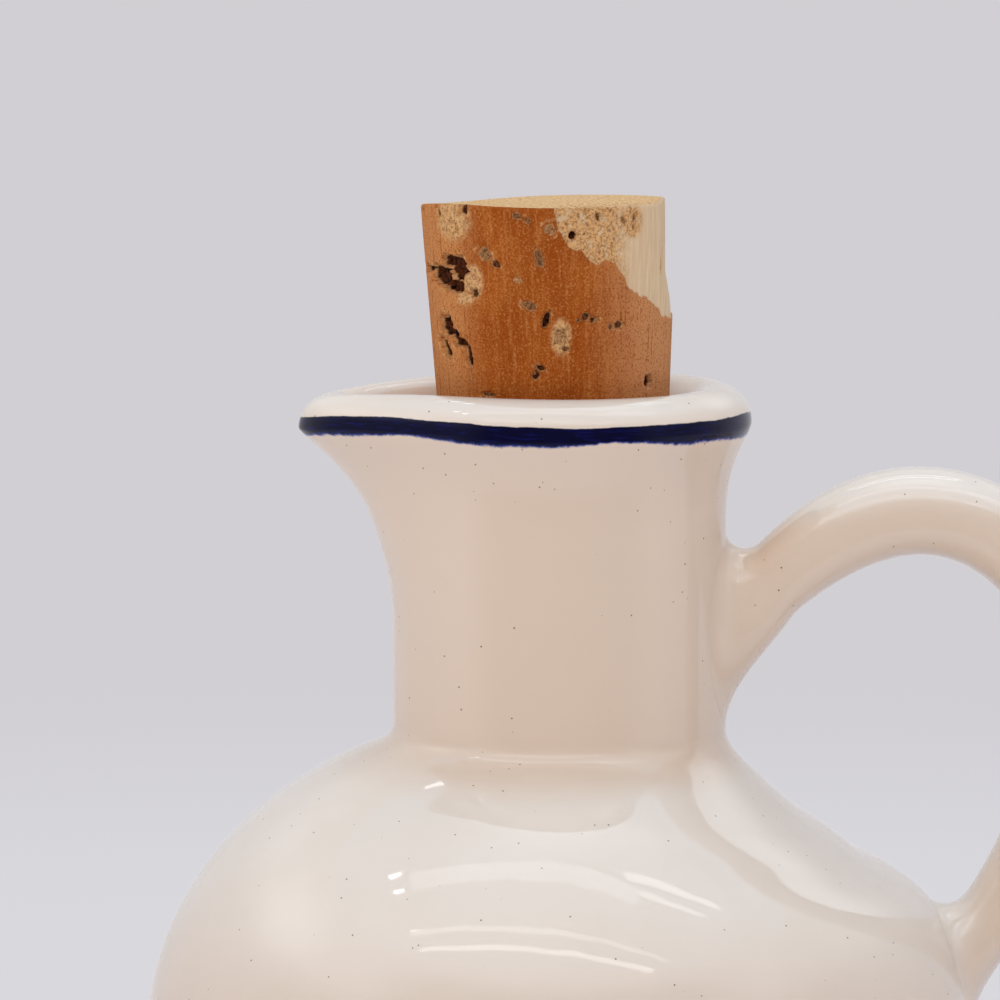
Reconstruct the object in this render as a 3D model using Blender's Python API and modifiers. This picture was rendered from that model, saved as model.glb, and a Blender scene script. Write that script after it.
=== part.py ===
"""Oil carafe: a glazed earthenware jug with a pulled spout, a loop handle and a cork stopper.

Metres, +Z up. The origin is the centre of the flat base, on the axis of the pot. The handle
stands towards +X and the spout points towards -X. The depth of a point is measured down from
the crest of the rim.
"""

import math

import bmesh
import bpy
from mathutils import Matrix, Vector
from mathutils.geometry import interpolate_bezier

MM = 0.001

# Body
RIM_HEIGHT = 130 * MM
BELLY_RADIUS = 51.3 * MM
BELLY_HEIGHT = 46 * MM
SHOULDER_RISE = 43.2 * MM
SHOULDER_FULLNESS = 2.15
BASE_RADIUS = 29 * MM
BASE_CHAMFER = 1.5 * MM
WALL = 5 * MM
FLOOR_THICKNESS = 6 * MM

# Neck
NECK_RADIUS = 20.45 * MM
NECK_WALL = 6.7 * MM
NECK_FILLET = 3.5 * MM
BORE_FILLET = 5 * MM

# Rolled lip: its section is a half round, with a long hollow underside that first drops straight
# down and then swings in to the neck, each by a share of the underside's height
LIP_ROLL = 4.4 * MM
LIP_OVERHANG = 3.05 * MM
LIP_DEPTH = 16 * MM
LIP_DROP_SHARE = 0.14
NECK_RISE_SHARE = 0.6

# Painted line on the outermost part of the lip
LINE_TOP = 3.2 * MM
LINE_BOTTOM = 5.8 * MM

# Spout, pulled out of the lip towards -X
SPOUT_PULL = 8.5 * MM
SPOUT_DROP = 1 * MM
SPOUT_ANGLE = math.radians(24)
SPOUT_SHARPNESS = 1.6
SPOUT_SWELL = 1.8
SPOUT_DEPTH = 29 * MM
CHANNEL_DEPTH = 11 * MM
CHANNEL_FULL_DEPTH = 2 * MM

# Shoulder pressed down under the handle, where it was luted on. The dip deepens outwards from
# inside the neck's radius and ends inside the belly's, and it fades out towards the neck
SETTLE_DROP = 5.7 * MM
SETTLE_INSET = 4.45 * MM
SETTLE_RISE = 16 * MM
SETTLE_MARGIN = 2.3 * MM
SETTLE_FALL = 12 * MM
SETTLE_FADE = 12 * MM

# Handle, an oval roll of clay pulled into a loop
HANDLE_THICKNESS = 10.7 * MM
HANDLE_WIDTH = 14.5 * MM
HANDLE_REACH = 12.3 * MM
HANDLE_TOP_DEPTH = 15.5 * MM
HANDLE_APEX_OFFSET = 23.6 * MM
HANDLE_SIDE_DEPTH = 37 * MM
HANDLE_CLIMB_PULL = 0.33
HANDLE_DESCENT_PULL = 0.4
HANDLE_WAIST = 0.2
HANDLE_WAIST_LENGTH = 25 * MM
UPPER_ROOT_DEPTH = 30.5 * MM
UPPER_ROOT_RISE = math.radians(44)
UPPER_ROOT_FLARE = 0.35
HANDLE_TAPER = 0.28
HANDLE_TAPER_LENGTH = 35 * MM
LOWER_ROOT_HEIGHT = 59 * MM
LOWER_ROOT_FALL = math.radians(60)
LOWER_ROOT_FLARE = 0.15
ROOT_FLARE_LENGTH = 9 * MM
ROOT_EMBED = 9 * MM
SEAT_GAP = 0.3 * MM

# Cork, held in a tapered seat in the throat
CORK_PROUD = 22.3 * MM
CORK_LENGTH = 38 * MM
CORK_TAPER = math.radians(3.5)
CORK_LEAN = math.radians(1.3)
CORK_CLEARANCE = 0.3 * MM
THROAT_OFFSET = 0.6 * MM
CORK_EDGE = 0.7 * MM
SEAT_TOP = 7 * MM
SEAT_BOTTOM = 14 * MM
SHAVE_LENGTH = 14 * MM
SHAVE_DEPTH = 1.8 * MM
SHAVE_AZIMUTH = math.radians(-4)

# Facets
VESSEL_STEPS = 48
LIP_STEPS = 6
UNDERSIDE_STEPS = 8
NECK_STEPS = 5
FILLET_STEPS = 4
SHOULDER_STEPS = 12
LOWER_STEPS = 8
CORK_STEPS = 32
HANDLE_SIDES_SETTING = 6
HANDLE_RINGS = 11

# How far a curve's handles reach for a round corner, as a share of the corner's radius
ROUND_CORNER = 0.55

CREST_RADIUS = NECK_RADIUS + LIP_OVERHANG - LIP_ROLL
LIP_RADIUS = NECK_RADIUS + LIP_OVERHANG
BORE_RADIUS = NECK_RADIUS - NECK_WALL


def smooth_step(t):
    """0 below 0, 1 above 1, and an S curve between."""
    t = min(max(t, 0), 1)
    return t * t * (3 - 2 * t)


def line(start, stop, steps):
    """Points along a straight side, both ends included."""
    return [tuple(Vector(start).lerp(Vector(stop), i / steps)) for i in range(steps + 1)]


def signed_power(value, exponent):
    return math.copysign(abs(value) ** exponent, value)


def ellipse_arc(centre, radii, start, stop, steps, fullness=2):
    """Points on an ellipse between two angles, both ends included. Above 2, fullness squares it."""
    points = []
    for i in range(steps + 1):
        angle = start + (stop - start) * i / steps
        across = signed_power(math.cos(angle), 2 / fullness)
        up = signed_power(math.sin(angle), 2 / fullness)
        points.append((centre[0] + radii[0] * across, centre[1] + radii[1] * up))
    return points


def bezier(start, start_handle, stop_handle, stop, steps):
    """Points on a Bezier curve in the plane of a profile, both ends included."""
    knots = [Vector((r, 0, z)) for r, z in (start, start_handle, stop_handle, stop)]
    return [(p.x, p.z) for p in interpolate_bezier(*knots, steps + 1)]


def chain(*stretches):
    """One outline from stretches that each start where the last one stopped."""
    points = list(stretches[0])
    for stretch in stretches[1:]:
        points += stretch[1:]
    return points


def shoulder_point(radius, rise, at_radius):
    """The point of a shoulder's curve at a radius, its angle and its downhill direction."""
    power = 2 / SHOULDER_FULLNESS
    angle = math.acos((at_radius / radius) ** (1 / power))
    point = Vector((at_radius, BELLY_HEIGHT + rise * math.sin(angle) ** power))
    across = radius * math.cos(angle) ** (power - 1) * math.sin(angle)
    down = rise * math.sin(angle) ** (power - 1) * math.cos(angle)
    return point, angle, Vector((across, -down)).normalized()


def outer_outline():
    """The outside of the vessel, from the crest of the rim to the edge of the flat base."""
    lip = ellipse_arc(
        (CREST_RADIUS, RIM_HEIGHT - LIP_ROLL), (LIP_ROLL, LIP_ROLL), math.pi / 2, 0, LIP_STEPS
    )
    lip_end = RIM_HEIGHT - LIP_DEPTH
    hollow = LIP_DEPTH - LIP_ROLL
    underside = bezier(
        lip[-1],
        (LIP_RADIUS, lip[-1][1] - LIP_DROP_SHARE * hollow),
        (NECK_RADIUS, lip_end + NECK_RISE_SHARE * hollow),
        (NECK_RADIUS, lip_end),
        UNDERSIDE_STEPS,
    )
    joint, joint_angle, downhill = shoulder_point(
        BELLY_RADIUS, SHOULDER_RISE, NECK_RADIUS + NECK_FILLET
    )
    neck_end = joint.y + NECK_FILLET
    neck = line((NECK_RADIUS, lip_end), (NECK_RADIUS, neck_end), NECK_STEPS)
    pull = ROUND_CORNER * NECK_FILLET
    fillet = bezier(
        neck[-1], (NECK_RADIUS, neck_end - pull), tuple(joint - downhill * pull), tuple(joint),
        FILLET_STEPS,
    )
    shoulder = ellipse_arc(
        (0, BELLY_HEIGHT), (BELLY_RADIUS, SHOULDER_RISE), joint_angle, 0, SHOULDER_STEPS,
        SHOULDER_FULLNESS,
    )
    foot_radius = BASE_RADIUS + BASE_CHAMFER
    foot_angle = math.acos(foot_radius / BELLY_RADIUS)
    drop = (BELLY_HEIGHT - BASE_CHAMFER) / math.sin(foot_angle)
    lower = ellipse_arc((0, BELLY_HEIGHT), (BELLY_RADIUS, drop), 0, -foot_angle, LOWER_STEPS)
    return chain(lip, underside, neck, fillet, shoulder, lower) + [(BASE_RADIUS, 0)]


def inner_outline():
    """The inside of the vessel, from the edge of its floor to the crest of the rim."""
    radius = BELLY_RADIUS - WALL
    floor_radius = BASE_RADIUS - WALL
    floor_angle = math.acos(floor_radius / radius)
    drop = (BELLY_HEIGHT - FLOOR_THICKNESS) / math.sin(floor_angle)
    lower = ellipse_arc((0, BELLY_HEIGHT), (radius, drop), -floor_angle, 0, LOWER_STEPS - 2)
    rise = SHOULDER_RISE - WALL
    joint, joint_angle, downhill = shoulder_point(radius, rise, BORE_RADIUS + BORE_FILLET)
    shoulder = ellipse_arc(
        (0, BELLY_HEIGHT), (radius, rise), 0, joint_angle, SHOULDER_STEPS - 3, SHOULDER_FULLNESS
    )
    bore_start = joint.y + BORE_FILLET
    pull = ROUND_CORNER * BORE_FILLET
    fillet = bezier(
        tuple(joint), tuple(joint - downhill * pull), (BORE_RADIUS, bore_start - pull),
        (BORE_RADIUS, bore_start), FILLET_STEPS - 1,
    )
    seat_end = RIM_HEIGHT - SEAT_BOTTOM
    bore = line(fillet[-1], (BORE_RADIUS, seat_end), 2)
    throat_radius = cork_radius(SEAT_TOP) + CORK_CLEARANCE
    seat = line((BORE_RADIUS, seat_end), (throat_radius, RIM_HEIGHT - SEAT_TOP), 2)
    mouth = ellipse_arc(
        (CREST_RADIUS, RIM_HEIGHT - SEAT_TOP), (CREST_RADIUS - throat_radius, SEAT_TOP),
        math.pi, math.pi / 2, LIP_STEPS,
    )
    return chain(lower, shoulder, fillet, bore, seat, mouth)


def cork_radius(depth):
    """Radius of the cork at a depth, from the seat that it wedges into."""
    return BORE_RADIUS - CORK_CLEARANCE + (SEAT_BOTTOM - depth) * math.tan(CORK_TAPER)


def offset_outline(outline, distance):
    """The outline moved out along its own normals."""
    moved = []
    for i, point in enumerate(outline):
        before = Vector(outline[max(i - 1, 0)])
        after = Vector(outline[min(i + 1, len(outline) - 1)])
        along = (after - before).normalized()
        moved.append((point[0] - along.y * distance, point[1] + along.x * distance))
    return moved


def settled(point):
    """The shoulder, pressed down on the handle side."""
    radius = math.hypot(point.x, point.y)
    start = NECK_RADIUS - SETTLE_INSET
    stop = BELLY_RADIUS - SETTLE_MARGIN
    if point.x <= 0 or not start < radius < stop:
        return point
    facing = (point.x / radius) ** 2
    shoulder_top = BELLY_HEIGHT + SHOULDER_RISE
    over_belly = smooth_step((point.z - BELLY_HEIGHT) / (SHOULDER_RISE / 2))
    under_neck = 1 - smooth_step((point.z - shoulder_top + NECK_FILLET) / SETTLE_FADE)
    swell = smooth_step((radius - start) / SETTLE_RISE) * smooth_step((stop - radius) / SETTLE_FALL)
    drop = SETTLE_DROP * facing * over_belly * under_neck * swell
    return Vector((point.x, point.y, point.z - drop))


def pulled(point):
    """The lip and the top of the neck, drawn out into a spout with a channel in its throat."""
    radius = math.hypot(point.x, point.y)
    if not radius:
        return point
    depth = RIM_HEIGHT - point.z
    if radius < CREST_RADIUS:
        pull = smooth_step((CHANNEL_DEPTH - depth) / (CHANNEL_DEPTH - CHANNEL_FULL_DEPTH))
    else:
        pull = min(max((SPOUT_DEPTH - depth) / (SPOUT_DEPTH - LIP_ROLL), 0), 1) ** SPOUT_SWELL
    from_spout = math.pi - abs(math.atan2(point.y, point.x))
    facing = math.exp(-((from_spout / SPOUT_ANGLE) ** SPOUT_SHARPNESS))
    scale = 1 + SPOUT_PULL * pull * facing / radius
    return Vector((point.x * scale, point.y * scale, point.z - SPOUT_DROP * pull * facing))


def off_centre(point):
    """The throat, which lies a little towards the spout."""
    depth = RIM_HEIGHT - point.z
    if math.hypot(point.x, point.y) > CREST_RADIUS:
        return point
    under_crest = smooth_step(depth / SEAT_TOP)
    over_bore = 1 - smooth_step((depth - SEAT_BOTTOM) / SPOUT_DEPTH)
    return Vector((point.x - THROAT_OFFSET * under_crest * over_bore, point.y, point.z))


def linear(red, green, blue):
    """A colour written in display values from 0 to 255, as the linear colour of a shader."""
    values = []
    for value in (red / 255, green / 255, blue / 255):
        values.append(value / 12.92 if value <= 0.04045 else ((value + 0.055) / 1.055) ** 2.4)
    return (*values, 1)


def make_material(name, colour, roughness):
    material = bpy.data.materials.new(name)
    material.use_nodes = True
    shader = material.node_tree.nodes["Principled BSDF"]
    shader.inputs["Base Color"].default_value = colour
    shader.inputs["Roughness"].default_value = roughness
    shader.inputs["Metallic"].default_value = 0
    material.diffuse_color = colour
    return material


def turned(name, profile, steps, collection):
    """An object turned about the Z axis from a profile of radius and height."""
    mesh = bpy.data.meshes.new(name)
    edges = [(i, i + 1) for i in range(len(profile) - 1)]
    mesh.from_pydata([(radius, 0, height) for radius, height in profile], edges, [])
    turned_object = bpy.data.objects.new(name, mesh)
    collection.objects.link(turned_object)
    screw = turned_object.modifiers.new("Turn", "SCREW")
    screw.steps = screw.render_steps = steps
    screw.use_merge_vertices = True
    screw.merge_threshold = 0.001 * MM
    return turned_object


def freeze(source):
    """Puts a plain mesh object in the place of one whose shape comes from modifiers or a curve."""
    bpy.context.view_layer.update()
    evaluated = source.evaluated_get(bpy.context.evaluated_depsgraph_get())
    mesh = bpy.data.meshes.new_from_object(evaluated)
    mesh.transform(source.matrix_world)
    name, collection = source.name, source.users_collection[0]
    bpy.data.objects.remove(source)
    welded = bmesh.new()
    welded.from_mesh(mesh)
    bmesh.ops.remove_doubles(welded, verts=welded.verts, dist=0.001 * MM)
    welded.to_mesh(mesh)
    welded.free()
    frozen = bpy.data.objects.new(name, mesh)
    mesh.name = name
    collection.objects.link(frozen)
    return frozen


def hide_cutter(cutter):
    cutter.hide_render = True
    cutter.display_type = "WIRE"


def cut(target, cutter):
    boolean = target.modifiers.new("Cut by " + cutter.name, "BOOLEAN")
    boolean.operation = "DIFFERENCE"
    boolean.solver = "EXACT"
    boolean.object = cutter


def shade(target, sharp_angle):
    target.data.shade_smooth()
    target.data.set_sharp_from_angle(angle=sharp_angle)


def make_vessel(parts, glaze, line_paint, bare_clay):
    """Body, neck and lip: one hollow thrown piece, with a painted line and an unglazed base."""
    outline = [(0, FLOOR_THICKNESS)] + inner_outline() + outer_outline()[1:] + [(0, 0)]
    vessel = freeze(turned("vessel", outline, VESSEL_STEPS, parts))
    mesh = vessel.data
    for material in (glaze, line_paint, bare_clay):
        mesh.materials.append(material)
    for face in mesh.polygons:
        depth = RIM_HEIGHT - face.center.z
        radius = math.hypot(face.center.x, face.center.y)
        painted = LINE_TOP < depth < LINE_BOTTOM and radius > CREST_RADIUS
        bare = face.center.z < BASE_CHAMFER
        face.material_index = 1 if painted else 2 if bare else 0
    for vertex in mesh.vertices:
        vertex.co = off_centre(pulled(settled(vertex.co)))
    shade(vessel, math.radians(40))
    return vessel


def make_handle_seat(cutters):
    """The filled outside of the vessel, grown by the gap: the handle's roots end on it."""
    outline = offset_outline(outer_outline(), SEAT_GAP)
    outline = [(0, outline[0][1]), *outline, (0, outline[-1][1])]
    seat = freeze(turned("handle_seat_cutter", outline, VESSEL_STEPS, cutters))
    for vertex in seat.data.vertices:
        vertex.co = pulled(settled(vertex.co))
    hide_cutter(seat)
    return seat


def belly_radius_at(height):
    share = ((height - BELLY_HEIGHT) / SHOULDER_RISE) ** SHOULDER_FULLNESS
    return BELLY_RADIUS * (1 - share) ** (1 / SHOULDER_FULLNESS)


def handle_centreline():
    """Knots and handles of the loop: out of the neck, over the top, down, and into the belly."""
    rise = Vector((math.cos(UPPER_ROOT_RISE), 0, math.sin(UPPER_ROOT_RISE)))
    fall = Vector((-math.cos(LOWER_ROOT_FALL), 0, -math.sin(LOWER_ROOT_FALL)))
    on_neck = Vector((NECK_RADIUS, 0, RIM_HEIGHT - UPPER_ROOT_DEPTH))
    apex = Vector((NECK_RADIUS + HANDLE_APEX_OFFSET, 0, RIM_HEIGHT - HANDLE_TOP_DEPTH))
    side = Vector((BELLY_RADIUS + HANDLE_REACH, 0, RIM_HEIGHT - HANDLE_SIDE_DEPTH))
    on_belly = Vector((belly_radius_at(LOWER_ROOT_HEIGHT), 0, LOWER_ROOT_HEIGHT))
    start = on_neck - rise * ROOT_EMBED
    stop = on_belly + fall * ROOT_EMBED
    across = Vector((side.x - apex.x, 0, 0))
    down = Vector((0, 0, side.z - apex.z))
    climb = (apex - start).length * HANDLE_CLIMB_PULL
    descent = (stop - side).length * HANDLE_DESCENT_PULL
    spans = (
        (start, start + rise * climb, apex - across.normalized() * climb, apex),
        (apex, apex + across * ROUND_CORNER, side - down * ROUND_CORNER, side),
        (side, side + down.normalized() * descent, stop - fall * descent, stop),
    )
    return chain(*(interpolate_bezier(*span, HANDLE_RINGS + 1) for span in spans))


def make_handle(parts, cutters, glaze):
    """The pulled loop, swollen at its roots, and trimmed to the surface of the vessel."""
    route = handle_centreline()
    along = [0]
    for before, after in zip(route, route[1:]):
        along.append(along[-1] + (after - before).length)
    curve = bpy.data.curves.new("handle", "CURVE")
    curve.dimensions = "3D"
    curve.bevel_depth = HANDLE_THICKNESS / 2
    curve.bevel_resolution = HANDLE_SIDES_SETTING
    curve.use_fill_caps = True
    spline = curve.splines.new("POLY")
    spline.points.add(len(route) - 1)
    for point, place, length in zip(spline.points, route, along):
        from_neck = length - ROOT_EMBED
        from_belly = along[-1] - length - ROOT_EMBED
        waist = HANDLE_WAIST * (1 - smooth_step(from_neck / HANDLE_WAIST_LENGTH))
        taper = HANDLE_TAPER * (1 - smooth_step(from_belly / HANDLE_TAPER_LENGTH))
        upper = UPPER_ROOT_FLARE * (1 - smooth_step(from_neck / ROOT_FLARE_LENGTH))
        lower = LOWER_ROOT_FLARE * (1 - smooth_step(from_belly / ROOT_FLARE_LENGTH))
        point.co = (*place, 1)
        point.radius = 1 - waist - taper + upper + lower
    roll = bpy.data.objects.new("handle", curve)
    parts.objects.link(roll)
    roll.scale.y = HANDLE_WIDTH / HANDLE_THICKNESS
    handle = freeze(roll)
    handle.data.materials.append(glaze)
    shade(handle, math.radians(60))
    cut(handle, make_handle_seat(cutters))
    return handle


def make_cork(parts, cutters, cork):
    """A tapered natural cork, leaning in its seat, with a slice shaved off one side of its top."""
    origin_depth = (SEAT_TOP + SEAT_BOTTOM) / 2
    top = CORK_PROUD + origin_depth
    bottom = top - CORK_LENGTH
    top_radius = cork_radius(-CORK_PROUD)
    bottom_radius = cork_radius(CORK_LENGTH - CORK_PROUD)
    profile = [
        (0, top),
        (top_radius - CORK_EDGE, top),
        (top_radius, top - CORK_EDGE),
        (cork_radius(0), origin_depth),
        (bottom_radius, bottom + CORK_EDGE),
        (bottom_radius - CORK_EDGE, bottom),
        (0, bottom),
    ]
    stopper = freeze(turned("cork_stopper", profile, CORK_STEPS, parts))
    stopper.location = (-THROAT_OFFSET, 0, RIM_HEIGHT - origin_depth)
    stopper.rotation_euler.y = -CORK_LEAN
    stopper.data.materials.append(cork)
    shade(stopper, math.radians(40))

    low_edge = Vector((cork_radius(SHAVE_LENGTH - CORK_PROUD), 0, top - SHAVE_LENGTH))
    high_edge = Vector((top_radius - SHAVE_DEPTH, 0, top))
    tilt = math.atan2(low_edge.x - high_edge.x, high_edge.z - low_edge.z)
    outward = Vector((math.cos(tilt), 0, math.sin(tilt)))
    size = 2 * CORK_LENGTH
    place = Matrix.Rotation(SHAVE_AZIMUTH, 4, "Z") @ ((low_edge + high_edge) / 2 + outward * size / 2)
    bpy.ops.mesh.primitive_cube_add(size=size)
    shave = bpy.context.active_object
    shave.name = "shave_cutter"
    shave.parent = stopper
    shave.location = place
    shave.rotation_euler = (0, -tilt, SHAVE_AZIMUTH)
    for collection in shave.users_collection:
        collection.objects.unlink(shave)
    cutters.objects.link(shave)
    hide_cutter(shave)
    cut(stopper, shave)
    return stopper


def main():
    for old in list(bpy.data.objects):
        bpy.data.objects.remove(old)
    parts = bpy.data.collections.new("oil_carafe")
    cutters = bpy.data.collections.new("cutters")
    for collection in (parts, cutters):
        bpy.context.scene.collection.children.link(collection)
    glaze = make_material("cream_glaze", linear(226, 210, 194), 0.08)
    line_paint = make_material("cobalt_line", linear(17, 16, 48), 0.15)
    bare_clay = make_material("bare_clay", linear(214, 190, 160), 0.85)
    cork = make_material("natural_cork", linear(172, 106, 58), 0.8)
    make_vessel(parts, glaze, line_paint, bare_clay)
    make_handle(parts, cutters, glaze)
    make_cork(parts, cutters, cork)


main()
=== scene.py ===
"""The looks of the oil carafe: its glazed vessel and handle, its cork, and the studio around it.

Metres, +Z up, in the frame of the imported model. The handle stands towards +X, the spout points
towards -X and the camera looks along +Y. A depth is measured down from the crest of the rim.
"""

import math

import bmesh
import bpy
import numpy as np
from mathutils import Matrix, Vector, noise

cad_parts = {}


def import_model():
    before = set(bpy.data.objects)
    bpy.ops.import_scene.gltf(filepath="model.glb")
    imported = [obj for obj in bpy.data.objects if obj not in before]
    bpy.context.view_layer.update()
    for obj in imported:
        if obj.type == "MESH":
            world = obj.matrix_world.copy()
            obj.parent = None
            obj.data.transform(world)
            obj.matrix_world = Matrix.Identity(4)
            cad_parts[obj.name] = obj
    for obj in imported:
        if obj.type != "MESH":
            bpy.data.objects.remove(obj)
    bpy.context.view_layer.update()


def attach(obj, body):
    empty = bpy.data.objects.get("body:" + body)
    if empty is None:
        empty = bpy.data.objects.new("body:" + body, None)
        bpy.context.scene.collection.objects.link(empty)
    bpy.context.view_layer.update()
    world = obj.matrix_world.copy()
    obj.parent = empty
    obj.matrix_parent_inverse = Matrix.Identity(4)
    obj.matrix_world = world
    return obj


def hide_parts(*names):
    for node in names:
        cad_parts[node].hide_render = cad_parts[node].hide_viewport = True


MM = 0.001

# Camera: the rim's centre and the scale at the pot's axis, as the photograph shows them
IMAGE_SIZE = 1000
RIM_PIXEL = (560, 384)
PIXEL_AT_AXIS = 0.1223 * MM
CAMERA_DISTANCE = 700 * MM
CAMERA_ELEVATION = math.radians(5)
SENSOR_WIDTH = 36

# Body
RIM_HEIGHT = 130 * MM
BELLY_RADIUS = 51.3 * MM
BELLY_HEIGHT = 46 * MM
SHOULDER_RISE = 43.2 * MM
SHOULDER_FULLNESS = 2.15
BASE_RADIUS = 29 * MM
BASE_CHAMFER = 1.5 * MM
EDGE_DROP_SHARE = 0.4
EDGE_OUT_SHARE = 0.3
WALL = 5 * MM
FLOOR_THICKNESS = 6 * MM

# Neck
NECK_RADIUS = 20.45 * MM
NECK_WALL = 6.7 * MM
NECK_FILLET = 3.5 * MM
BORE_FILLET = 5 * MM
BORE_RADIUS = NECK_RADIUS - NECK_WALL

# Lip: a half round over a long hollow underside, which first drops straight down and then swings
# in to the neck, each by a share of the underside's height
LIP_ROLL = 4.4 * MM
LIP_OVERHANG = 3.05 * MM
LIP_DEPTH = 16 * MM
LIP_DROP_SHARE = 0.14
NECK_RISE_SHARE = 0.6
CREST_RADIUS = NECK_RADIUS + LIP_OVERHANG - LIP_ROLL
LIP_RADIUS = NECK_RADIUS + LIP_OVERHANG

# Spout
SPOUT_PULL = 8.5 * MM
SPOUT_DROP = 1 * MM
SPOUT_ANGLE = math.radians(24)
SPOUT_SHARPNESS = 1.6
SPOUT_SWELL = 1.8
SPOUT_DEPTH = 29 * MM
CHANNEL_DEPTH = 11 * MM
CHANNEL_FULL_DEPTH = 2 * MM

# The rim isn't level: it lies lower in front than at the back, and sinks by a share of that tilt
RIM_TILT = 0.17 * MM
RIM_TWIST = 0.05 * MM
RIM_SINK = 0.2

# Shoulder pressed down under the handle
SETTLE_DROP = 5.7 * MM
SETTLE_INSET = 4.45 * MM
SETTLE_RISE = 16 * MM
SETTLE_MARGIN = 2.3 * MM
SETTLE_FALL = 12 * MM
SETTLE_FADE = 12 * MM

# Handle
HANDLE_THICKNESS = 10.7 * MM
HANDLE_WIDTH = 14.5 * MM
HANDLE_REACH = 12.3 * MM
HANDLE_TOP_DEPTH = 15.5 * MM
HANDLE_APEX_OFFSET = 23.6 * MM
HANDLE_SIDE_DEPTH = 37 * MM
HANDLE_SQUARENESS = 2.35
HANDLE_CLIMB_PULL = 1 / 3
HANDLE_DESCENT_PULL = 0.4
HANDLE_WAIST = 0.2
HANDLE_WAIST_LENGTH = 25 * MM
HANDLE_TAPER = 0.28
HANDLE_TAPER_LENGTH = 35 * MM
UPPER_ROOT_DEPTH = 30.5 * MM
UPPER_ROOT_RISE = math.radians(44)
UPPER_ROOT_FLARE = 0.35
LOWER_ROOT_HEIGHT = 59 * MM
LOWER_ROOT_FALL = math.radians(60)
LOWER_ROOT_FLARE = 0.15
ROOT_FLARE_LENGTH = 9 * MM
ROOT_EMBED = 9 * MM

# Fillets of clay where the handle was luted on: how far the free roll stops from the surface,
# and how far the fillet spreads on the surface above, below and to each side. Its edge is tucked
# in under the surface
UPPER_SKIRT_START = 6.5 * MM
UPPER_SKIRT_SLANT = 3.8 * MM
UPPER_SKIRT = (12.6 * MM, 11.4 * MM, 10.6 * MM)
LOWER_SKIRT_START = 7 * MM
LOWER_SKIRT = (9.5 * MM, 9.5 * MM, 9.5 * MM)
SKIRT_SINK = 0.04 * MM
SKIRT_RINGS = 14
SKIRT_HEADING = 0.97
SKIRT_TUCK = 0.9
SKIRT_TUCK_DEPTH = 1.2 * MM

# Cork
CORK_PROUD = 22.3 * MM
CORK_LENGTH = 38 * MM
CORK_TAPER = math.radians(3.5)
CORK_LEAN = math.radians(1.3)
CORK_CLEARANCE = 0.3 * MM
THROAT_OFFSET = 0.6 * MM
CORK_EDGE = 0.45 * MM
SEAT_TOP = 7 * MM
SEAT_BOTTOM = 14 * MM
# Flat break at the top of the cork: how far in it lies (second) at depths under the top (first)
BREAK_DEPTHS = (0 * MM, 5 * MM, 9 * MM, 11.7 * MM, 14.4 * MM)
BREAK_RECESS = (1.75 * MM, 1.5 * MM, 1.33 * MM, 0.6 * MM, 0)
BREAK_TURN = 86

# Facets of the modelled surfaces
VESSEL_COLUMNS = 240
LIP_STEPS = 28
UNDERSIDE_STEPS = 36
NECK_STEPS = 26
FILLET_STEPS = 20
SHOULDER_STEPS = 72
LOWER_STEPS = 40
EDGE_STEPS = 6
BASE_STEPS = 12
FLOOR_STEPS = 10
INNER_LOWER_STEPS = 20
INNER_SHOULDER_STEPS = 24
THROAT_STEPS = 8
MOUTH_STEPS = 30
HANDLE_COLUMNS = 72
HANDLE_CURVE_STEPS = 60
HANDLE_STEP = 0.7 * MM
CORK_COLUMNS = 640
CORK_STEP = 0.16 * MM
CORK_TOP_STEPS = 36
CORK_CORNER_STEPS = 4
CORK_HIDDEN_POINTS = 16
CORK_BOTTOM_STEPS = 8

# How far a curve's handles reach for a round corner, as a share of the corner's radius
ROUND_CORNER = 0.55
# Radius at which a turned surface stops, to be closed by triangles round the axis
VESSEL_AXIS_HOLE = 1 * MM
CORK_AXIS_HOLE = 0.6 * MM
# Steps to each side that give a direction on the vessel's surface and along the handle
SURFACE_PROBE = 0.05 * MM
ROUTE_PROBE = 0.5 * MM


def smooth_step(t):
    """0 below 0, 1 above 1, and an S curve between."""
    t = np.clip(t, 0, 1)
    return t * t * (3 - 2 * t)


def bump_at(value, centre, width):
    """A soft bump, 1 at its centre."""
    return np.exp(-(((value - centre) / width) ** 2))


def signed_power(value, exponent):
    return np.sign(value) * np.abs(value) ** exponent


def unit(vectors):
    return vectors / np.maximum(np.linalg.norm(vectors, axis=-1, keepdims=True), 1e-12)


def radius_of(points):
    """Distance from the axis, never quite 0."""
    return np.maximum(np.hypot(points[:, 0], points[:, 1]), 1e-9)


def azimuth_of(points):
    return np.arctan2(points[:, 1], points[:, 0])


def line(start, stop, steps):
    share = np.linspace(0, 1, steps + 1)[:, None]
    return np.array(start) * (1 - share) + np.array(stop) * share


def ellipse_arc(centre, radii, start, stop, steps, fullness=2):
    angle = np.linspace(start, stop, steps + 1)
    across = signed_power(np.cos(angle), 2 / fullness)
    up = signed_power(np.sin(angle), 2 / fullness)
    return np.stack([centre[0] + radii[0] * across, centre[1] + radii[1] * up], 1)


def bezier(start, start_handle, stop_handle, stop, steps):
    """Points on a Bezier curve, or rows of them on the curves between two rows of points."""
    a, b, c, d = (np.array(point, float) for point in (start, start_handle, stop_handle, stop))
    share = np.linspace(0, 1, steps + 1).reshape(-1, *[1] * a.ndim)
    rest = 1 - share
    return a * rest**3 + 3 * b * share * rest**2 + 3 * c * share**2 * rest + d * share**3


def chain(*stretches):
    """One line from stretches that each start where the last one stopped."""
    return np.concatenate([stretches[0], *(stretch[1:] for stretch in stretches[1:])])


def lengths_along(points):
    steps = np.linalg.norm(np.diff(points, axis=0), axis=1)
    return np.concatenate([[0], np.cumsum(steps)])


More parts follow.
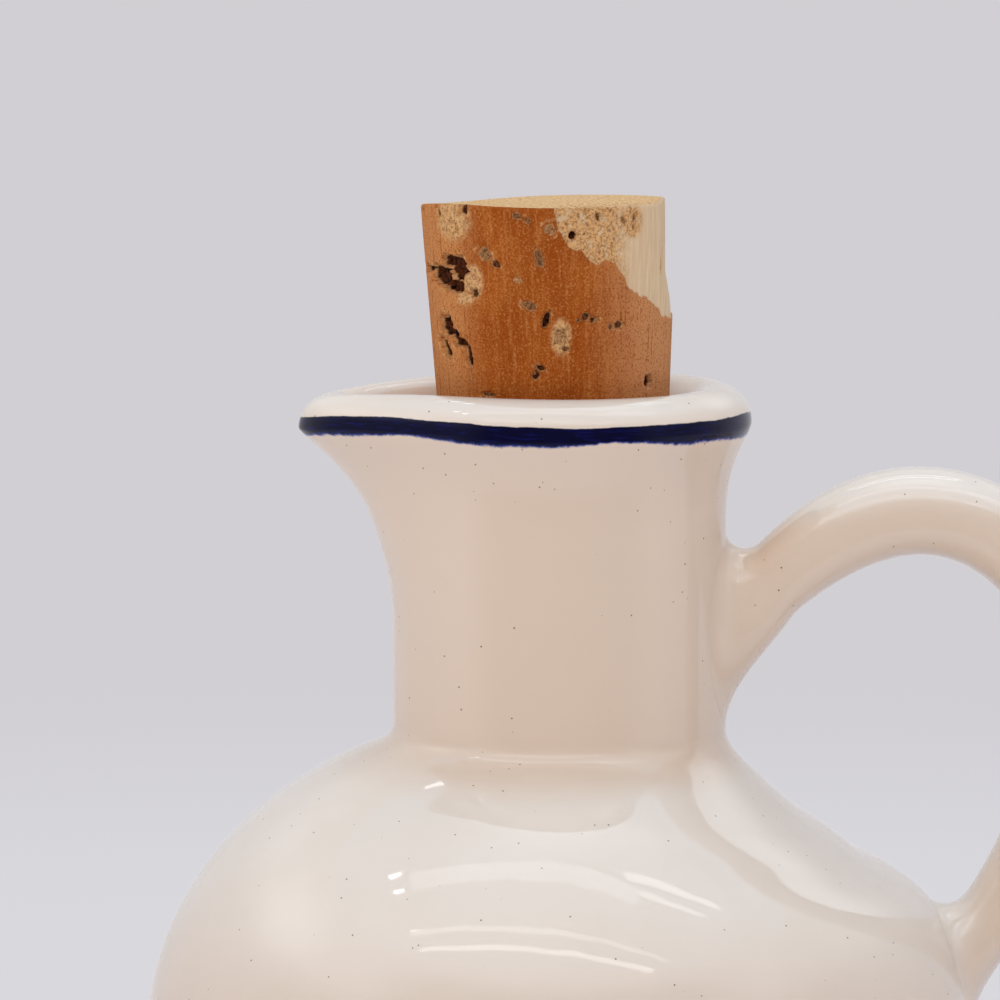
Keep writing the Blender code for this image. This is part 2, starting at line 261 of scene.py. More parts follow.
def noise_at(points, size, seed=0):
    """Smooth noise from about -1 to 1 whose lumps are about as wide as the given size."""
    shift = Vector((7.3, 1.9, 4.1)) * (seed + 1)
    return np.array([noise.noise(Vector(point) / size + shift) for point in points])


def neck_fillet(belly_radius, rise, neck_radius, fillet, steps):
    """The curve from a neck down to its shoulder, and the shoulder's angle where it arrives."""
    power = 2 / SHOULDER_FULLNESS
    angle = math.acos(((neck_radius + fillet) / belly_radius) ** (1 / power))
    joint = np.array([neck_radius + fillet, BELLY_HEIGHT + rise * math.sin(angle) ** power])
    across = belly_radius * math.cos(angle) ** (power - 1) * math.sin(angle)
    down = rise * math.sin(angle) ** (power - 1) * math.cos(angle)
    start = np.array([neck_radius, joint[1] + fillet])
    pull = ROUND_CORNER * fillet
    uphill = unit(np.array([-across, down]))
    return bezier(start, start - (0, pull), joint + uphill * pull, joint, steps), angle


def lower_belly(radius, foot_radius, foot_height, steps):
    """From the widest ring of the belly down to its foot."""
    angle = math.acos(foot_radius / radius)
    drop = (BELLY_HEIGHT - foot_height) / math.sin(angle)
    return ellipse_arc((0, BELLY_HEIGHT), (radius, drop), 0, -angle, steps)


def outer_outline():
    """The outside of the vessel, from the crest of the rim to the edge of the flat base."""
    lip = ellipse_arc(
        (CREST_RADIUS, RIM_HEIGHT - LIP_ROLL), (LIP_ROLL, LIP_ROLL), math.pi / 2, 0, LIP_STEPS
    )
    lip_end = RIM_HEIGHT - LIP_DEPTH
    hollow = LIP_DEPTH - LIP_ROLL
    under_lip = (LIP_RADIUS, lip[-1][1] - LIP_DROP_SHARE * hollow)
    on_neck = (NECK_RADIUS, lip_end + NECK_RISE_SHARE * hollow)
    underside = bezier(lip[-1], under_lip, on_neck, (NECK_RADIUS, lip_end), UNDERSIDE_STEPS)
    fillet, joint_angle = neck_fillet(
        BELLY_RADIUS, SHOULDER_RISE, NECK_RADIUS, NECK_FILLET, FILLET_STEPS
    )
    neck = line(underside[-1], fillet[0], NECK_STEPS)
    shoulder = ellipse_arc(
        (0, BELLY_HEIGHT), (BELLY_RADIUS, SHOULDER_RISE), joint_angle, 0, SHOULDER_STEPS,
        SHOULDER_FULLNESS,
    )
    lower = lower_belly(BELLY_RADIUS, BASE_RADIUS + BASE_CHAMFER, BASE_CHAMFER, LOWER_STEPS)
    foot = lower[-1] * (1, EDGE_DROP_SHARE)
    on_base = (BASE_RADIUS + EDGE_OUT_SHARE * BASE_CHAMFER, 0)
    edge = bezier(lower[-1], foot, on_base, (BASE_RADIUS, 0), EDGE_STEPS)
    return chain(lip, underside, neck, fillet, shoulder, lower, edge)


def inner_outline():
    """The inside of the vessel, from the edge of its floor to the crest of the rim."""
    radius = BELLY_RADIUS - WALL
    rise = SHOULDER_RISE - WALL
    lower = lower_belly(radius, BASE_RADIUS - WALL, FLOOR_THICKNESS, INNER_LOWER_STEPS)[::-1]
    fillet, joint_angle = neck_fillet(radius, rise, BORE_RADIUS, BORE_FILLET, THROAT_STEPS)
    shoulder = ellipse_arc(
        (0, BELLY_HEIGHT), (radius, rise), 0, joint_angle, INNER_SHOULDER_STEPS, SHOULDER_FULLNESS
    )
    seat_start = (BORE_RADIUS, RIM_HEIGHT - SEAT_BOTTOM)
    bore = line(fillet[0], seat_start, THROAT_STEPS)
    throat_radius = cork_radius(SEAT_TOP) + CORK_CLEARANCE
    seat = line(seat_start, (throat_radius, RIM_HEIGHT - SEAT_TOP), THROAT_STEPS)
    mouth = ellipse_arc(
        (CREST_RADIUS, RIM_HEIGHT - SEAT_TOP), (CREST_RADIUS - throat_radius, SEAT_TOP),
        math.pi, math.pi / 2, MOUTH_STEPS,
    )
    return chain(lower, shoulder, fillet[::-1], bore, seat, mouth)


def cork_radius(depth):
    """Radius of the cork at a depth, from the seat that it wedges into."""
    return BORE_RADIUS - CORK_CLEARANCE + (SEAT_BOTTOM - depth) * math.tan(CORK_TAPER)


def settled(points):
    """The shoulder, pressed down on the handle side."""
    x, z = points[:, 0], points[:, 2]
    radius = radius_of(points)
    start = NECK_RADIUS - SETTLE_INSET
    stop = BELLY_RADIUS - SETTLE_MARGIN
    facing = np.where(x > 0, (x / radius) ** 2, 0)
    shoulder_top = BELLY_HEIGHT + SHOULDER_RISE
    over_belly = smooth_step((z - BELLY_HEIGHT) / (SHOULDER_RISE / 2))
    under_neck = 1 - smooth_step((z - shoulder_top + NECK_FILLET) / SETTLE_FADE)
    swell = smooth_step((radius - start) / SETTLE_RISE) * smooth_step((stop - radius) / SETTLE_FALL)
    moved = points.copy()
    moved[:, 2] -= SETTLE_DROP * facing * over_belly * under_neck * swell
    return moved


def pulled(points):
    """The lip and the top of the neck, drawn out into a spout with a channel in its throat."""
    radius = radius_of(points)
    depth = RIM_HEIGHT - points[:, 2]
    channel = smooth_step((CHANNEL_DEPTH - depth) / (CHANNEL_DEPTH - CHANNEL_FULL_DEPTH))
    outside = np.clip((SPOUT_DEPTH - depth) / (SPOUT_DEPTH - LIP_ROLL), 0, 1) ** SPOUT_SWELL
    pull = np.where(radius < CREST_RADIUS - 1e-7, channel, outside)
    from_spout = math.pi - np.abs(azimuth_of(points))
    facing = np.exp(-((from_spout / SPOUT_ANGLE) ** SPOUT_SHARPNESS))
    scale = 1 + SPOUT_PULL * pull * facing / radius
    drop = SPOUT_DROP * pull * facing
    moved = np.stack([points[:, 0] * scale, points[:, 1] * scale, points[:, 2] - drop], 1)
    return np.where(radius[:, None] < 1e-7, points, moved)


def rim_rise(azimuth):
    """How much higher or lower the rim lies at an azimuth, as a hand leaves it."""
    twist = np.sin(2 * azimuth) + np.cos(azimuth)
    return RIM_TILT * (np.sin(azimuth) - RIM_SINK) + RIM_TWIST * twist


def twisted(points):
    """The rim with its rises and falls, which fade out down the lip."""
    depth = RIM_HEIGHT - points[:, 2]
    reach = np.where(radius_of(points) > CREST_RADIUS, LIP_DEPTH, SEAT_TOP)
    moved = points.copy()
    moved[:, 2] += rim_rise(azimuth_of(points)) * smooth_step(1 - depth / reach)
    return moved


def off_centre(points):
    """The throat, which lies a little towards the spout."""
    depth = RIM_HEIGHT - points[:, 2]
    under_crest = smooth_step(depth / SEAT_TOP)
    over_bore = 1 - smooth_step((depth - SEAT_BOTTOM) / SPOUT_DEPTH)
    near = (radius_of(points) <= CREST_RADIUS) & (depth <= 2 * SPOUT_DEPTH)
    moved = points.copy()
    moved[:, 0] -= np.where(near, THROAT_OFFSET * under_crest * over_bore, 0)
    return moved


def turned_points(outline, columns, start=-math.pi):
    """A grid of points, a row for each point of the outline and a column for each azimuth."""
    azimuths = np.linspace(start, start + 2 * math.pi, columns, endpoint=False)
    across, z = outline[:, :1], outline[:, 1:]
    return np.stack([across * np.cos(azimuths), across * np.sin(azimuths), z + 0 * azimuths], 2)


UNEVENNESS = 0.07 * MM
UNEVENNESS_SIZE = 26 * MM
LEVEL_FOOT = 10 * MM


def hand_thrown(points):
    """The slight unevenness of a thrown pot, which bends the reflections in its glaze."""
    swell = UNEVENNESS * noise_at(points, UNEVENNESS_SIZE)
    scale = 1 + swell * smooth_step(points[:, 2] / LEVEL_FOOT) / radius_of(points)
    return points * np.stack([scale, scale, np.ones_like(scale)], 1)


def outer_shape(points):
    return hand_thrown(pulled(twisted(settled(points))))


def inner_shape(points):
    return off_centre(pulled(twisted(settled(points))))


class OuterSurface:
    """The vessel's outside: points on it by azimuth and by the way down along its outline."""

    def __init__(self):
        self.outline = outer_outline()
        self.along = lengths_along(self.outline)

    def along_at(self, height):
        """The way down to a height above the belly."""
        upper = self.outline[:, 1] > BELLY_HEIGHT
        return float(np.interp(-height, -self.outline[upper, 1], self.along[upper]))

    def radius(self, along):
        return np.interp(along, self.along, self.outline[:, 0])

    def points(self, azimuth, along):
        radius = self.radius(along)
        height = np.interp(along, self.along, self.outline[:, 1])
        turned = np.stack([radius * np.cos(azimuth), radius * np.sin(azimuth), height], 1)
        return outer_shape(turned)

    def normals(self, azimuth, along):
        step = SURFACE_PROBE
        down = self.points(azimuth, along + step) - self.points(azimuth, along - step)
        turn = step / self.radius(along)
        side = self.points(azimuth + turn, along) - self.points(azimuth - turn, along)
        return unit(np.cross(down, side))


def mesh_object(name, points, faces, collection):
    """A mesh object whose faces all point the same way: out, where it is closed."""
    mesh = bpy.data.meshes.new(name)
    mesh.from_pydata([tuple(point) for point in points], [], faces)
    outward = bmesh.new()
    outward.from_mesh(mesh)
    bmesh.ops.recalc_face_normals(outward, faces=outward.faces)
    outward.to_mesh(mesh)
    outward.free()
    mesh.shade_smooth()
    made = bpy.data.objects.new(name, mesh)
    collection.objects.link(made)
    return made


def ring_faces(rows, columns):
    """Quads between rings of points that close on themselves."""
    near = np.arange((rows - 1) * columns).reshape(-1, columns)
    beside = np.roll(near, -1, 1)
    return np.stack([near, beside, beside + columns, near + columns], 2).reshape(-1, 4).tolist()


def fan_faces(ring_start, columns, centre):
    """Triangles from a ring of points to one point in its middle."""
    return [
        (ring_start + column, ring_start + (column + 1) % columns, centre)
        for column in range(columns)
    ]


def closed_grid(name, grid, start_point, stop_point, collection):
    """A closed mesh from rings of points, with a point that closes each end."""
    rows, columns = grid.shape[:2]
    points = np.concatenate([grid.reshape(-1, 3), [start_point], [stop_point]])
    faces = ring_faces(rows, columns)
    faces += fan_faces(0, columns, rows * columns)
    faces += fan_faces((rows - 1) * columns, columns, rows * columns + 1)
    return mesh_object(name, points, faces, collection)


def set_attribute(target, name, values):
    """A number, or a vector, kept at each point of a mesh for its material to read."""
    vector = values.ndim == 2
    kind = "FLOAT_VECTOR" if vector else "FLOAT"
    attribute = target.data.attributes.new(name, kind, "POINT")
    attribute.data.foreach_set("vector" if vector else "value", values.astype(np.float32).ravel())


# Painted line: its edges in mm under the crest, how much of the rim's rise and fall it follows,
# and how far the brush swayed round the pot
LINE_TOP = 3.15
LINE_BOTTOM = 5.6
LINE_FOLLOWS_RIM = 0.8
LINE_SWAY = 0.4
# Where a point lies on the line: from -1 at its upper edge to 1 at its lower edge
ABOVE_LINE = -10.0
BELOW_LINE = 10.0
# Height under which the clay is bare
BARE_HEIGHT = 0.05 * MM


def line_edges(azimuth):
    """Depths of the painted line's upper and lower edge, which wander as a brush does."""
    from_spout = math.pi - np.abs(azimuth)
    climb = LINE_FOLLOWS_RIM * (rim_rise(azimuth) / MM - LINE_SWAY * np.sin(2 * azimuth))
    upper = LINE_TOP - 0.37 * bump_at(from_spout, 0.47, 0.27) - 0.42 * bump_at(azimuth, -0.65, 0.5)
    upper += 0.09 * np.sin(3 * azimuth + 1.1) + 0.06 * np.sin(7 * azimuth + 0.4)
    lower = LINE_BOTTOM - 0.52 * bump_at(from_spout, 0.55, 0.45)
    lower += 0.35 * bump_at(azimuth, -0.2, 0.7)
    lower -= 0.72 * bump_at(azimuth, -1.25, 0.38) + 0.38 * bump_at(azimuth, -0.52, 0.3)
    lower += 0.4 * bump_at(azimuth, -1.85, 0.35)
    lower += 0.07 * np.sin(5 * azimuth + 2) + 0.05 * np.sin(11 * azimuth)
    return (upper + climb) * MM, (lower + climb) * MM


# Painted shade: the cream turns warmer and darker where the surface is steep or faces down, and at
# the foot of the neck, as if the glaze lay thinner over the warm clay there
LEVEL_GLAZE_RISE = 0.82
NECK_FOOT = 82 * MM
NECK_TOP = 112 * MM
NECK_FADE = 4 * MM
NECK_SHADE = 0.95


def mark_glaze_shade(target):
    """Keeps the painted shade at each point of a piece, from 0 on level faces to 1."""
    vertices = target.data.vertices
    normals, points = np.zeros(len(vertices) * 3), np.zeros(len(vertices) * 3)
    vertices.foreach_get("normal", normals)
    vertices.foreach_get("co", points)
    height = points.reshape(-1, 3)[:, 2]
    near_neck = smooth_step((height - NECK_FOOT) / NECK_FADE)
    near_neck *= 1 - smooth_step((height - NECK_TOP) / NECK_FADE)
    level = smooth_step(normals.reshape(-1, 3)[:, 2] / LEVEL_GLAZE_RISE)
    set_attribute(target, "glaze_shade", 1 - level * (1 - NECK_SHADE * near_neck))


def make_vessel(collection, glaze, bare_clay, painted_glaze):
    """Body, neck, lip and spout, hollow, with the marks that the painted line needs."""
    inner, outer = inner_outline(), outer_outline()
    floor = line((VESSEL_AXIS_HOLE, FLOOR_THICKNESS), inner[0], FLOOR_STEPS)
    base = line(outer[-1], (VESSEL_AXIS_HOLE, 0), BASE_STEPS)
    outline = chain(floor, inner, outer, base)
    grid = turned_points(outline, VESSEL_COLUMNS)
    flat = grid.reshape(-1, 3)
    inner_rows = len(floor) + len(inner) - 2
    outside = np.repeat(np.arange(len(outline)) > inner_rows, VESSEL_COLUMNS)
    shaped = np.where(outside[:, None], outer_shape(flat), inner_shape(flat))
    centres = (0, 0, FLOOR_THICKNESS), (0, 0, 0)
    vessel = closed_grid("vessel_glazed", shaped.reshape(grid.shape), *centres, collection)

    upper, lower = line_edges(azimuth_of(flat))
    depth = RIM_HEIGHT - flat[:, 2]
    place = np.where(outside, (2 * depth - upper - lower) / (lower - upper), ABOVE_LINE)
    set_attribute(vessel, "line_place", np.concatenate([place, [ABOVE_LINE, BELOW_LINE]]))
    set_attribute(vessel, "turned_place", np.concatenate([flat, centres]))
    mark_glaze_shade(vessel)
    for material in (glaze, bare_clay, painted_glaze):
        vessel.data.materials.append(material)
    for face in vessel.data.polygons:
        middle = np.mean([place[corner] for corner in face.vertices if corner < len(place)])
        painted = 2 if abs(middle) < 1 else 0
        face.material_index = 1 if face.center.z < BARE_HEIGHT else painted
    return vessel


def belly_radius_at(height):
    share = ((height - BELLY_HEIGHT) / SHOULDER_RISE) ** SHOULDER_FULLNESS
    return BELLY_RADIUS * (1 - share) ** (1 / SHOULDER_FULLNESS)


def handle_centreline():
    """The loop: out of the neck, over the top, down, and into the belly."""
    rise = np.array([math.cos(UPPER_ROOT_RISE), 0, math.sin(UPPER_ROOT_RISE)])
    fall = np.array([-math.cos(LOWER_ROOT_FALL), 0, -math.sin(LOWER_ROOT_FALL)])
    on_neck = np.array([NECK_RADIUS, 0, RIM_HEIGHT - UPPER_ROOT_DEPTH])
    apex = np.array([NECK_RADIUS + HANDLE_APEX_OFFSET, 0, RIM_HEIGHT - HANDLE_TOP_DEPTH])
    side = np.array([BELLY_RADIUS + HANDLE_REACH, 0, RIM_HEIGHT - HANDLE_SIDE_DEPTH])
    on_belly = np.array([belly_radius_at(LOWER_ROOT_HEIGHT), 0, LOWER_ROOT_HEIGHT])
    start = on_neck - rise * ROOT_EMBED
    stop = on_belly + fall * ROOT_EMBED
    across = np.array([side[0] - apex[0], 0, 0])
    down = np.array([0, 0, side[2] - apex[2]])
    climb = np.linalg.norm(apex - start) * HANDLE_CLIMB_PULL
    descent = np.linalg.norm(stop - side) * HANDLE_DESCENT_PULL
    curves = (
        (start, start + rise * climb, apex - unit(across) * climb, apex),
        (apex, apex + across * ROUND_CORNER, side - down * ROUND_CORNER, side),
        (side, side + unit(down) * descent, stop - fall * descent, stop),
    )
    return chain(*(bezier(*curve, HANDLE_CURVE_STEPS) for curve in curves))


def handle_rings():
    """Rings of points round the free part of the roll; the first ring slants, for its fillet."""
    route = handle_centreline()
    along = lengths_along(route)
    angles = np.linspace(0, 2 * math.pi, HANDLE_COLUMNS, endpoint=False)
    first = ROOT_EMBED + UPPER_SKIRT_START + UPPER_SKIRT_SLANT * (1 + np.cos(angles)) / 2
    last = along[-1] - ROOT_EMBED - LOWER_SKIRT_START
    stations = np.linspace(first, np.full(HANDLE_COLUMNS, last), int(last / HANDLE_STEP))

    def on_route(distance):
        return np.stack([np.interp(distance, along, route[:, axis]) for axis in range(3)], -1)

    centre = on_route(stations)
    tangent = unit(on_route(stations + ROUTE_PROBE) - on_route(stations - ROUTE_PROBE))
    outward = np.stack([-tangent[..., 2], 0 * stations, tangent[..., 0]], -1)
    from_neck = stations - ROOT_EMBED
    from_belly = along[-1] - stations - ROOT_EMBED
    swell = 1 - HANDLE_WAIST * (1 - smooth_step(from_neck / HANDLE_WAIST_LENGTH))
    swell -= HANDLE_TAPER * (1 - smooth_step(from_belly / HANDLE_TAPER_LENGTH))
    swell += UPPER_ROOT_FLARE * (1 - smooth_step(from_neck / ROOT_FLARE_LENGTH))
    swell += LOWER_ROOT_FLARE * (1 - smooth_step(from_belly / ROOT_FLARE_LENGTH))
    up = signed_power(np.cos(angles), 2 / HANDLE_SQUARENESS) * HANDLE_THICKNESS / 2
    side = signed_power(np.sin(angles), 2 / HANDLE_SQUARENESS) * HANDLE_WIDTH / 2
    rings = centre + outward * (swell * up)[..., None]
    rings[..., 1] += swell * side
    return rings, angles


def skirt(surface, ring, ring_before, angles, along_centre, spread):
    """Rings of the fillet that runs from the last free ring out on to the vessel's surface.

    The spread is how far it reaches up, down and to each side of the root's middle.
    """
    up, down, side = spread
    upward = np.where(np.cos(angles) > 0, up, down) * np.cos(angles)
    sideways = side * np.sin(angles) / surface.radius(along_centre)

    def landing(scale, depth):
        """The fillet's edge, drawn in towards the root's middle and sunk under the surface."""
        azimuth, along = sideways * scale, along_centre - upward * scale
        return surface.points(azimuth, along) - surface.normals(azimuth, along) * depth

    foot = landing(1, SKIRT_SINK)
    inside = landing(SKIRT_TUCK, SKIRT_TUCK_DEPTH)
    arriving = unit(ring - ring_before)
    leaving = unit(landing(1, 0) - landing(SKIRT_HEADING, 0))
    chord = np.linalg.norm(foot - ring, axis=1, keepdims=True)
    turn = np.arccos(np.clip((arriving * leaving).sum(1, keepdims=True), -1, 1))
    reach = 4 / 3 * np.tan(turn / 4) * chord / (2 * np.sin(turn / 2))
    rings = bezier(ring, ring + arriving * reach, foot - leaving * reach, foot, SKIRT_RINGS)
    return np.concatenate([rings[1:], [inside]]), inside.mean(0)


def make_handle(collection, surface, glaze):
    """The pulled loop, with its ends drawn out over the neck and the shoulder."""
    rings, angles = handle_rings()
    neck_along = surface.along_at(RIM_HEIGHT - UPPER_ROOT_DEPTH)
    upper, upper_cap = skirt(surface, rings[0], rings[1], angles, neck_along, UPPER_SKIRT)
    belly_along = surface.along_at(LOWER_ROOT_HEIGHT)
    lower, lower_cap = skirt(
        surface, rings[-1], rings[-2], math.pi - angles, belly_along, LOWER_SKIRT
    )
    grid = np.concatenate([upper[::-1], rings, lower])
    handle = closed_grid("handle_glazed", grid, upper_cap, lower_cap, collection)
    set_attribute(handle, "line_place", np.full(len(handle.data.vertices), ABOVE_LINE))
    mark_glaze_shade(handle)
    handle.data.materials.append(glaze)
    return handle


# Holes in the cork: turn from the front in degrees, depth under the top, half width and half
# height along the surface, tilt in degrees and depth of the hole, all but the angles in mm
PORES = (
    (-42, 0.6, 0.7, 0.6, 0, 0.7), (-60, 0.9, 0.45, 0.9, 0, 0.5), (-47.5, 7.2, 1.6, 1.5, 0, 1.3),
    (-62, 8.1, 2.6, 1.3, 0, 1.3), (-51, 9.4, 2.1, 0.8, 0, 1.5), (-54, 6.3, 1.4, 0.8, 0, 1.1),
    (-80, 7.5, 2.3, 0.7, 0, 1.0), (-38, 10.1, 0.6, 0.5, 0, 0.6), (-31, 5.4, 1.0, 0.9, 0, 0.45),
    (-25.5, 6.6, 0.7, 0.55, 35, 0.6), (-14.5, 1.0, 0.6, 0.4, 0, 0.5),
    (-9.5, 1.45, 0.4, 0.45, 0, 0.4), (0, 2.5, 0.75, 0.9, 0, 0.35), (-5, 5.8, 0.5, 1.3, -12, 0.5),
    (-15, 8.5, 0.6, 0.4, 0, 0.3), (-10, 11.6, 0.85, 0.6, 20, 0.5), (-2.3, 13.3, 0.42, 1.2, 20, 1.1),
    (4.5, 15.4, 0.9, 1.3, 25, 0.35), (6.5, 16.9, 0.5, 0.4, 0, 0.5), (13, 13.5, 0.3, 0.3, 0, 0.5),
    (16.5, 13.1, 0.55, 0.6, 0, 0.6), (20, 13.5, 0.4, 0.4, 0, 0.6), (22.5, 13.4, 0.25, 0.3, 0, 0.4),
    (29.5, 14.4, 0.4, 0.4, 0, 0.5), (34, 14.3, 0.65, 0.6, 0, 0.6), (-60, 14.3, 1.6, 1.4, 30, 1.2),
    (-53, 15.4, 0.9, 0.8, 0, 0.9), (-63, 16.9, 1.9, 0.9, 35, 1.3), (-50, 16.2, 1.4, 0.6, 0, 1.2),
    (-44, 17.7, 0.6, 1.7, -8, 0.8), (-43.5, 19.8, 0.16, 1.2, 0, 0.5), (-6, 19.1, 0.7, 0.4, 20, 0.7),
    (-7.5, 19.7, 0.25, 0.6, -30, 0.6), (-8.7, 20.2, 0.45, 0.4, 0, 0.8),
    (54.5, 21.4, 0.95, 0.85, 0, 1.2), (-33, 22.4, 1.2, 0.4, 0, 0.5), (-78, 0.6, 0.3, 0.3, 0, 0.3),
    (10.4, 3.2, 0.5, 0.65, 0, 0.8), (23, 1.2, 0.28, 0.6, -10, 0.5), (16.8, 0.4, 0.3, 0.4, 0, 0.3),
    (36, 1.6, 0.4, 0.5, 0, 0.4), (43, 1.5, 0.4, 0.6, 0, 0.4), (43, 2.7, 0.4, 0.5, 0, 0.35),
    (80, 6.6, 0.8, 1.1, 0, 0.9), (82, 17.5, 0.16, 1.6, 0, 0.4), (70, 15.5, 0.14, 1.2, 0, 0.35),
)
# Crumbly fields: turn, depth, half width, half height
CRUMBS = (
    (-49, 1.7, 2.8, 2.1), (-38, 8.7, 1.4, 2.0), (-44, 10.8, 1.5, 0.8),
    (41, 1.9, 1.5, 2.1), (68, 7.7, 1.2, 1.1), (4.5, 15.4, 1.1, 2.1),
)
# Lower edge of the broken patch: turn from the front in degrees, and depth under the top in mm
PATCH_EDGE = (
    (2, -0.5), (4.5, 2.8), (8.6, 4.6), (15, 5.2), (18.7, 6.6), (30.6, 6.5), (35, 8.1), (38, 9.5),
    (45.5, 11), (51, 11.3), (58, 12.2), (66, 13.8), (90, 14.4), (120, 12), (150, 7), (165, -0.5),
)
PATCH_START = -0.5
PATCH_STEP = 0.28 * MM
PATCH_EDGE_WIDTH = 0.22
# The patch is crumbly up to this turn, and smooth past it
CRUMBLY_TURN = 36
CRUMBLY_FADE = 14
BACK_PORES = 26
BACK_PORES_SEED = 11
# The cork is modelled in full detail down to a little under the rim
HIDDEN_MARGIN = 1.5 * MM
# Depth in which the rise of the top's edge fades out
TOP_RISE_FADE = 3 * MM


def turn_gap(turn, other):
    """Degrees from one turn to another, the short way round."""
    return (turn - other + 180) % 360 - 180


def back_pores():
    """Pores like those of the front for the side that the photograph doesn't show."""
    random = np.random.default_rng(BACK_PORES_SEED)
    pores = []
    for _ in range(BACK_PORES):
        turn = random.uniform(95, 265)
        depth = random.uniform(1, 22)
        wide = 0.25 + 1.1 * random.random() ** 2
        high = wide * random.uniform(0.6, 1.6)
        pores.append((turn, depth, wide, high, random.uniform(-30, 30), 0.3 + 0.8 * wide))
    return pores


def pore_shapes(turn, depth, points):
    """Depth, darkness and the painted highlight on the rims of the holes, at each point."""
    radius = cork_radius(0)
    ragged = 0.3 * noise_at(points, 0.9 * MM, 1) + 0.22 * noise_at(points, 0.35 * MM, 2)
    recess = np.zeros(len(points))
    dark = np.zeros(len(points))
    rim_highlight = np.zeros(len(points))
    for at_turn, at_depth, wide, high, tilt, deep in (*PORES, *back_pores()):
        sideways = np.radians(turn_gap(turn, at_turn)) * radius / MM
        down = depth / MM - at_depth
        near = (np.abs(sideways) < 3 * wide + 2) & (np.abs(down) < 3 * high + 2)
        cosine, sine = math.cos(math.radians(tilt)), math.sin(math.radians(tilt))
        across = (sideways[near] * cosine + down[near] * sine) / wide
        along = (down[near] * cosine - sideways[near] * sine) / high
        spread = np.hypot(across, along) + ragged[near]
        hole = smooth_step((1.12 - spread) / 0.4)
        recess[near] = np.maximum(recess[near], hole * deep * MM)
        # Holes dark with their own colour and painted shade; rims with a painted highlight
        darkness = min(0.3 + 0.5 * deep, 1)
        dark[near] = np.maximum(dark[near], darkness * smooth_step((1.05 - spread) / 0.3))
        rim_highlight[near] = np.maximum(rim_highlight[near], bump_at(spread, 1.2, 0.14))
    return recess, dark, rim_highlight


def crumb_field(turn, depth):
    """1 in the crumbly fields of the cork's skin, 0 on the rest."""
    radius = cork_radius(0)
    field = np.zeros(len(turn))
    for at_turn, at_depth, wide, high in CRUMBS:
        across = np.radians(turn_gap(turn, at_turn)) * radius / MM / wide
        along = (depth / MM - at_depth) / high
        field = np.maximum(field, smooth_step((1.3 - np.hypot(across, along)) / 0.6))
    return field


def patch_field(turn, depth, points):
    """1 in the broken pale patch of the cork, 0 on its skin."""
    knots = np.array(PATCH_EDGE)
    edge = np.interp(turn % 360, *knots.T, left=PATCH_START, right=PATCH_START)
    ragged = 0.45 * noise_at(points, 1.3 * MM, 3) + 0.3 * noise_at(points, 0.5 * MM, 4)
    return smooth_step((edge + ragged - depth / MM) / PATCH_EDGE_WIDTH + 0.5)


def break_recess(turn, depth, radius):
    """How far the cork's side lies in where a slice broke off at the top."""
    plane = radius - np.interp(depth, BREAK_DEPTHS, BREAK_RECESS)
    facing = np.cos(np.radians(turn_gap(turn, BREAK_TURN)))
    return np.maximum(radius - plane / np.maximum(facing, 0.2), 0) * (depth < BREAK_DEPTHS[-1])


def top_rise(turn):
    """How much higher or lower the edge of the cork's top lies: it isn't sawn quite flat."""
    front_left = bump_at(turn_gap(turn, -50), 0, 38)
    back_left = bump_at(turn_gap(turn, -130), 0, 35)
    return (0.6 * front_left - 0.35 * back_left) * MM


def cork_outline():
    """The cork's outline, and how many of its points lie on the top and on the bottom."""
    top_radius = cork_radius(-CORK_PROUD) - CORK_EDGE
    bottom_radius = cork_radius(CORK_LENGTH - CORK_PROUD) - CORK_EDGE
    fine_end = CORK_PROUD + HIDDEN_MARGIN
    fine = np.linspace(CORK_EDGE, fine_end, int(fine_end / CORK_STEP))
    coarse = np.linspace(fine_end, CORK_LENGTH - CORK_EDGE, CORK_HIDDEN_POINTS)[1:]
    down = np.concatenate([fine, coarse])
    side = np.stack([[cork_radius(d - CORK_PROUD) for d in down], -down], 1)
    top = line((CORK_AXIS_HOLE, 0), (top_radius, 0), CORK_TOP_STEPS)
    corner = ellipse_arc(
        (top_radius, -CORK_EDGE), (CORK_EDGE, CORK_EDGE), math.pi / 2, 0, CORK_CORNER_STEPS
    )
    bottom = line(
        (bottom_radius, -CORK_LENGTH), (CORK_AXIS_HOLE, -CORK_LENGTH), CORK_BOTTOM_STEPS
    )
    return np.concatenate([top, corner[1:-1], side, bottom]), len(top), len(bottom)


